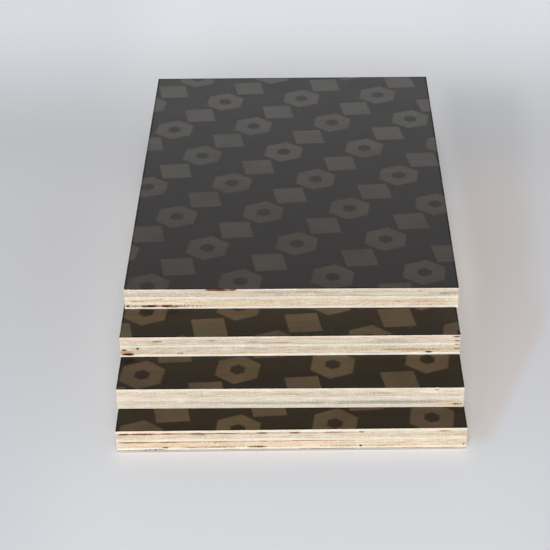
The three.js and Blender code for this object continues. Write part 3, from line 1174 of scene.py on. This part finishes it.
# %% Outline and wall
def outline(tree, given):
    """The rectangle, cut into short steps at the front and longer ones elsewhere."""
    inputs = {"Width": given["Width"], "Height": given["Length"]}
    rectangle = put(tree, "GeometryNodeCurvePrimitiveQuadrilateral", inputs, mode="RECTANGLE")
    here = put(tree, "GeometryNodeInputPosition")
    following = maths("MODULO", put(tree, "GeometryNodeInputIndex") + 1.0, CORNERS)
    inputs = {"Index": following, "Value": here}
    there = put(tree, "GeometryNodeFieldAtIndex", inputs, data_type="FLOAT_VECTOR", domain="POINT")
    side = put(tree, "ShaderNodeVectorMath", {0: here, 1: there}, output="Value", operation="DISTANCE")
    furthest_back = maths("MAXIMUM", split(here)[1], split(there)[1])
    at_front = maths("LESS_THAN", furthest_back, 0.0)
    step = blend_numbers(at_front, given["Other Step"], given["Front Step"])
    cuts = maths("ROUND", side / step) - 1.0
    return put(tree, "GeometryNodeSubdivideCurve", {"Curve": rectangle, "Cuts": cuts})


def upright_wall(tree, given, path):
    """A wall of small squares that stands on the path."""
    line = put(tree, "GeometryNodeCurvePrimitiveLine", {"End": vector_of(y=given["Thickness"] * -1.0)})
    rows = maths("MAXIMUM", maths("ROUND", given["Thickness"] / given["Row Height"]), 1.0)
    line = put(tree, "GeometryNodeResampleCurve", {"Curve": line, "Count": rows + 1.0}, mode="COUNT")
    upright = put(tree, "GeometryNodeSetCurveNormal", {"Curve": path}, mode="Z_UP")
    wall = put(tree, "GeometryNodeCurveToMesh", {"Curve": upright, "Profile Curve": line})
    return put(tree, "GeometryNodeFlipFaces", {"Mesh": wall})


# %% Caps
def caps(tree, path, lift, push):
    """The top and the bottom face. Each outline is pushed inwards like the wall's rim, then filled."""
    raised = put(tree, "GeometryNodeTransform", {"Geometry": path, "Translation": lift})
    faces = []
    for rim, level in ((raised, lift), (path, (0, 0, 0))):
        cut = put(tree, "GeometryNodeSetPosition", {"Geometry": rim, "Offset": push})
        face = put(tree, "GeometryNodeFillCurve", {"Curve": cut}, mode="TRIANGLES")
        faces.append(put(tree, "GeometryNodeTransform", {"Geometry": face, "Translation": level}))
    top, bottom = faces
    return top, put(tree, "GeometryNodeFlipFaces", {"Mesh": bottom})


# %% Which way is inwards
def inwards(given, here):
    """Straight in from the edge that the point lies on."""
    x, y, _ = split(here)
    at_front_or_back = maths("GREATER_THAN", abs(y), given["Length"] / 2.0 - NUDGE)
    at_end = maths("GREATER_THAN", abs(x), given["Width"] / 2.0 - NUDGE) * (1.0 - at_front_or_back)
    return vector_of(maths("SIGN", x) * (at_end * -1.0), maths("SIGN", y) * (at_front_or_back * -1.0))


def turned(tree, given, vector):
    """The vector, turned as the sheet is."""
    inputs = {"Vector": vector, "Angle": given["Turn"]}
    return put(tree, "ShaderNodeVectorRotate", inputs, rotation_type="Z_AXIS")


# %% How far the layer is dug out
def dug_out(tree, given, here):
    """How far back a point of the front has to go to lie on the CAD layer, found by a ray from in front."""
    x, y, z = split(here)
    inset = maths("MINIMUM", abs(x), given["Width"] / 2.0 - NUDGE)
    level = maths("MINIMUM", maths("MAXIMUM", z, NUDGE), given["Thickness"] - NUDGE)
    front = given["Length"] / -2.0
    start = turned(tree, given, vector_of(maths("SIGN", x) * inset, front - REACH, level))
    solid = {"Object": given["Solid"]}
    inputs = {
        "Target Geometry": put(tree, "GeometryNodeObjectInfo", solid, "Geometry", transform_space="ORIGINAL"),
        "Source Position": vectors("ADD", start, given["Middle"]),
        "Ray Direction": turned(tree, given, (0, 1, 0)),
        "Ray Length": RAY_LENGTH,
    }
    ray = add_node(tree, "GeometryNodeRaycast", inputs).outputs
    depth = (Signal(ray["Hit Distance"]) - REACH) * Signal(ray["Is Hit"])
    already = y - front
    return maths("MAXIMUM", depth - already, 0.0)


# %% Roughness of the sawn edge
GRAIN_IS_FULL = 0.75
GRAIN_SHARE, RIPPLE_SHARE = 0.8, 0.2
RIPPLES_PER_MM = (0.9, 0.9, 0.1)
# In metres: how far from a corner the edge gets rough, and how far from a face the groove reaches.
ROUGH_FROM_CORNER = (0.0003, 0.002)
GROOVE_WIDTH = 0.0004


def roughness_of_edge(tree, given, here):
    """Grain, saw ripple and the groove along a glue line, all cut inwards."""
    millimetres = vectors("DIVIDE", here, (MM, MM, MM))
    stretched = vectors("DIVIDE", millimetres, given["Grain Size"])
    inputs = {"Vector": stretched, "W": given["Seed"], "Scale": 1.0, "Detail": 2.0}
    grain = put(tree, "ShaderNodeTexNoise", inputs, noise_dimensions="4D")
    inputs = {"Vector": vectors("MULTIPLY", millimetres, RIPPLES_PER_MM), "W": given["Seed"]}
    ripple = put(tree, "ShaderNodeTexNoise", inputs, noise_dimensions="4D")
    rough = ramp(grain, given["Bare Share"], GRAIN_IS_FULL) * GRAIN_SHARE + ripple * RIPPLE_SHARE
    x, y, z = split(here)
    from_corner = maths("MAXIMUM", given["Width"] / 2.0 - abs(x), given["Length"] / 2.0 - abs(y))
    rough = rough * given["Relief"] * ramp(from_corner, *ROUGH_FROM_CORNER)
    from_face = maths("MINIMUM", z, given["Thickness"] - z)
    return rough + fade(from_face, 0.0, GROOVE_WIDTH) * given["Groove"]


# %% The whole tree
SHARP_EDGE = math.radians(50)
WELD_DISTANCE = 0.00001


def sawn_layer(tree, given):
    here = put(tree, "GeometryNodeInputPosition")
    inputs = {0: inwards(given, here), "Scale": roughness_of_edge(tree, given, here)}
    rough = put(tree, "ShaderNodeVectorMath", inputs, operation="SCALE")
    push = vectors("ADD", rough, vector_of(y=dug_out(tree, given, here)))

    path = outline(tree, given)
    inputs = {"Geometry": upright_wall(tree, given, path), "Offset": push}
    wall = put(tree, "GeometryNodeSetPosition", inputs)
    top, bottom = caps(tree, path, vector_of(z=given["Thickness"]), push)
    join = tree.nodes.new("GeometryNodeJoinGeometry")
    for part in (wall, top, bottom):
        tree.links.new(part.socket, join.inputs[0])
    inputs = {"Geometry": Signal(join.outputs[0]), "Distance": WELD_DISTANCE}
    layer = put(tree, "GeometryNodeMergeByDistance", inputs)

    inputs = {"Geometry": layer, "Position": vectors("ADD", turned(tree, given, here), given["Middle"])}
    layer = put(tree, "GeometryNodeSetPosition", inputs)
    bend = put(tree, "GeometryNodeInputMeshEdgeAngle", output="Unsigned Angle")
    inputs = {"Geometry": layer, "Shade Smooth": maths("LESS_THAN", bend, SHARP_EDGE)}
    layer = put(tree, "GeometryNodeSetShadeSmooth", inputs, domain="EDGE")
    layer = put(tree, "GeometryNodeRealizeInstances", {"Geometry": layer})
    inputs = {"Geometry": layer, "Material": given["Material"]}
    return {"Geometry": put(tree, "GeometryNodeSetMaterial", inputs)}


LAYER = make_group("sawn layer", LAYER_INPUTS, sawn_layer, "GeometryNodeTree", "NodeSocketGeometry")


# %% Make one layer
def make_layer(sheet, layer, values, material, set_back=0.0):
    """One piece. A layer that is set back ends that far inside the sheet on every side."""
    node = f"{sheet}_{layer}"
    low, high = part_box(node)
    place = places[sheet]
    piece = bpy.data.objects.new(f"{node}_sawn", bpy.data.meshes.new(f"{node}_sawn"))
    bpy.context.scene.collection.objects.link(piece)
    modifier = piece.modifiers.new("sawn layer", "NODES")
    modifier.node_group = LAYER
    values = values | {
        "Solid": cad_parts[node],
        "Middle": (place["middle"].x, place["middle"].y, low[2]),
        "Turn": place["turn"],
        "Width": place["width"] - 2 * set_back,
        "Length": place["length"] - 2 * set_back,
        "Thickness": high[2] - low[2],
        "Material": material,
    }
    for item in LAYER.interface.items_tree:
        if item.in_out == "INPUT" and item.name in values:
            modifier[item.identifier] = values[item.name]
    evaluated = piece.evaluated_get(bpy.context.evaluated_depsgraph_get())
    mesh = bpy.data.meshes.new_from_object(evaluated)
    piece.modifiers.clear()
    mesh.name = piece.name
    piece.data = mesh
    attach(piece, "root")
    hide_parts(node)
    return piece


# %% Make all the veneers
LONG_GRAIN = {"Grain Size": (6, 1, 0.5), "Relief": 0.00009}
CROSS_GRAIN = {"Grain Size": (0.9, 6, 0.5), "Relief": 0.00016}
# The seed's steps from sheet to sheet and from veneer to veneer.
LAYER_SEEDS = (10, 1)
for sheet_number, sheet in enumerate(SHEETS):
    triangles = 0
    for ply_number, ply in enumerate(PLIES):
        grain, slot = LONG_GRAIN, "long_grain_veneer"
        if ply in CORES:
            grain, slot = CROSS_GRAIN, "cross_grain_veneer"
        seed = {"Seed": seeded(LAYER_SEEDS, sheet_number, ply_number)}
        piece = make_layer(sheet, ply, grain | seed, wood[f"{sheet}_{ply}"])
        triangles += sum(len(face.vertices) - 2 for face in piece.data.polygons)
    print(sheet, "veneers:", triangles, "triangles")

# %% [markdown]
# ## Torn and nibbled films
#
# The saw nibbles the brittle film along every edge, and where its teeth left the board, at the back
# film, they tore small flakes away. So a film takes the same tree with a coarser, rounder grain. A torn
# back film also ends a little inside its sheet. The lowest one lies on the floor and is only nibbled, so
# that the stack stands on its whole outline.

# %% Make all the films
NIBBLED = {
    "Grain Size": (1.1, 1.1, 1.1),
    "Relief": 0.0003,
    "Bare Share": 0.55,
    "Groove": 0.0,
    "Row Height": 0.001,
    "Other Step": 0.0006,
}
TORN = NIBBLED | {"Grain Size": (2.5, 2.5, 2.5), "Relief": 0.0009, "Bare Share": 0.4}
# The back film of each sheet, and how far it is set back, in metres.
BACK_FILMS = ((NIBBLED, 0.0), (TORN, 0.001), (TORN, 0.0008), (TORN, 0.0008))
# A number for the films' seeds, beyond those of the veneers.
FILM_NUMBER = 50
for sheet_number, sheet in enumerate(SHEETS):
    seed = {"Seed": seeded(LAYER_SEEDS, sheet_number, FILM_NUMBER)}
    edge, set_back = BACK_FILMS[sheet_number]
    make_layer(sheet, "back_film", edge | seed, films[f"{sheet}_back_film"], set_back)
    piece = make_layer(sheet, "face_film", NIBBLED | seed, films[f"{sheet}_face_film"])
    print(sheet, "films:", len(piece.data.vertices), "points in the upper one")
